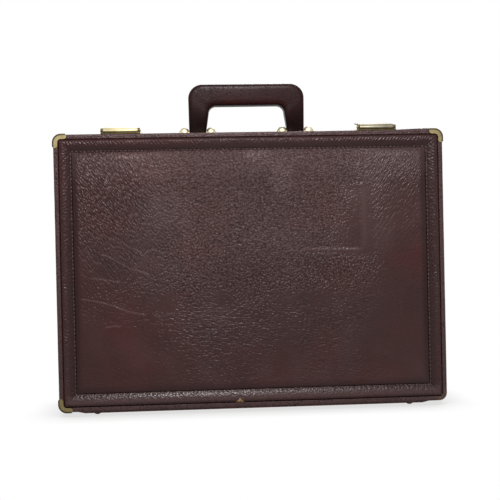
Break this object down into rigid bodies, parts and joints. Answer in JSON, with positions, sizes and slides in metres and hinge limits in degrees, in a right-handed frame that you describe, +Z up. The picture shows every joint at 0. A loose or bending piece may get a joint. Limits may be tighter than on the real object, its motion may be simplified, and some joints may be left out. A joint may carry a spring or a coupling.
{
  "type": "briefcase",
  "caption": "Hard leather attache case with a padded, stitched front, brass corner caps, two hasp latches, a swinging handle, lid stays and a fitted lid pocket.",
  "frame": {"origin": "on the floor under the middle of the case, standing on its feet", "axes": "+Z up, +X along the case to the right as seen from the lid, +Y from the lid to the back"},
  "size_m": [0.4484, 0.102, 0.385],
  "materials": {
    "brass": "aged",
    "bright_brass": "worn",
    "dark_brass": "tarnished",
    "hinge_metal": "dull",
    "wood": "plain",
    "leather": "pebbled, worn",
    "handle_leather": "smooth, worn",
    "strip_leather": "smooth, scuffed",
    "pocket_leather": "smooth",
    "suede": "napped",
    "rim_metal": "satin",
    "foot_metal": "dull, worn"
  },
  "bodies": {
    "base": {"base_frame": "wood", "base_leather": "leather", "rear_panel": "wood", "rear_border": "leather", "rear_pad": "leather", "base_rim": "rim_metal", "base_lining": "suede", "base_corner_caps": "brass", "base_cap_nails": "bright_brass", "base_wear_strip": "strip_leather", "base_feet": "foot_metal", "base_hinge_leaf": "hinge_metal", "base_hinge_screws": "hinge_metal", "hinge_pin": "hinge_metal", "left_handle_bracket": "brass", "right_handle_bracket": "brass", "left_handle_pin": "bright_brass", "right_handle_pin": "bright_brass", "bracket_screws": "bright_brass", "left_lock_case": "brass", "right_lock_case": "brass", "lock_screws": "bright_brass", "base_stay_studs": "hinge_metal"},
    "lid": {"lid_frame": "wood", "lid_leather": "leather", "front_panel": "wood", "front_border": "leather", "front_pad": "leather", "lid_rim": "rim_metal", "lid_lining": "suede", "lid_corner_caps": "brass", "lid_cap_nails": "bright_brass", "lid_wear_strip": "strip_leather", "lid_feet": "foot_metal", "lid_hinge_leaf": "hinge_metal", "lid_hinge_screws": "hinge_metal", "left_hasp_base": "dark_brass", "right_hasp_base": "dark_brass", "left_hasp_pin": "bright_brass", "right_hasp_pin": "bright_brass", "hasp_rivets": "bright_brass", "lid_stay_studs": "hinge_metal", "document_pocket": "pocket_leather", "card_pocket": "pocket_leather", "pen_loops": "pocket_leather"},
    "handle": {"handle_grip": "handle_leather", "handle_eye_tubes": "brass"},
    "left_hasp_body": {"left_hasp": "brass"},
    "left_button_body": {"left_latch_button": "bright_brass"},
    "left_key_body": {"left_key_plug": "bright_brass"},
    "left_arm_body": {"left_stay_arm": "hinge_metal"},
    "left_link_body": {"left_stay_link": "hinge_metal"},
    "right_hasp_body": {"right_hasp": "brass"},
    "right_button_body": {"right_latch_button": "bright_brass"},
    "right_key_body": {"right_key_plug": "bright_brass"},
    "right_arm_body": {"right_stay_arm": "hinge_metal"},
    "right_link_body": {"right_stay_link": "hinge_metal"}
  },
  "joints": [
    {"name": "lid_hinge", "type": "hinge", "parent": "base", "child": "lid", "pos_m": [0, -0.01, 0.0029], "axis": [1, 0, 0], "range_deg": [0, 95]},
    {"name": "handle_swing", "type": "hinge", "parent": "base", "child": "handle", "pos_m": [0, 0.02, 0.3275], "axis": [1, 0, 0], "range_deg": [-78, 78]},
    {"name": "left_hasp_turn", "type": "hinge", "parent": "lid", "child": "left_hasp_body", "pos_m": [-0.147, -0.041, 0.3231], "axis": [1, 0, 0], "range_deg": [0, 95]},
    {"name": "left_button_slide", "type": "slide", "parent": "base", "child": "left_button_body", "axis": [-1, 0, 0], "range_m": [0, 0.006], "stiffness_N_per_m": 200},
    {"name": "left_key_turn", "type": "hinge", "parent": "base", "child": "left_key_body", "pos_m": [-0.1345, 0.0061, 0.3215], "axis": [0, 0, 1], "range_deg": [0, 90]},
    {"name": "right_hasp_turn", "type": "hinge", "parent": "lid", "child": "right_hasp_body", "pos_m": [0.147, -0.041, 0.3231], "axis": [1, 0, 0], "range_deg": [-10, 85]},
    {"name": "right_button_slide", "type": "slide", "parent": "base", "child": "right_button_body", "axis": [1, 0, 0], "range_m": [0, 0.006], "stiffness_N_per_m": 200},
    {"name": "right_key_turn", "type": "hinge", "parent": "base", "child": "right_key_body", "pos_m": [0.1345, 0.0061, 0.3215], "axis": [0, 0, 1], "range_deg": [0, 90]},
    {"name": "left_stay_arm_turn", "type": "hinge", "parent": "base", "child": "left_arm_body", "pos_m": [0, 0.01, 0.14954], "axis": [1, 0, 0], "range_deg": [0, 95]},
    {"name": "left_stay_link_turn", "type": "hinge", "parent": "lid", "child": "left_link_body", "pos_m": [0, -0.03, 0.14954], "axis": [1, 0, 0], "range_deg": [-95, 0]},
    {"name": "right_stay_arm_turn", "type": "hinge", "parent": "base", "child": "right_arm_body", "pos_m": [0, 0.01, 0.14954], "axis": [1, 0, 0], "range_deg": [0, 95]},
    {"name": "right_stay_link_turn", "type": "hinge", "parent": "lid", "child": "right_link_body", "pos_m": [0, -0.03, 0.14954], "axis": [1, 0, 0], "range_deg": [-95, 0]}
  ],
  "couplings": [
    {"joint": "left_stay_arm_turn", "follows": "lid_hinge", "ratio": 1},
    {"joint": "left_stay_link_turn", "follows": "lid_hinge", "ratio": -1},
    {"joint": "right_stay_arm_turn", "follows": "lid_hinge", "ratio": 1},
    {"joint": "right_stay_link_turn", "follows": "lid_hinge", "ratio": -1}
  ]
}
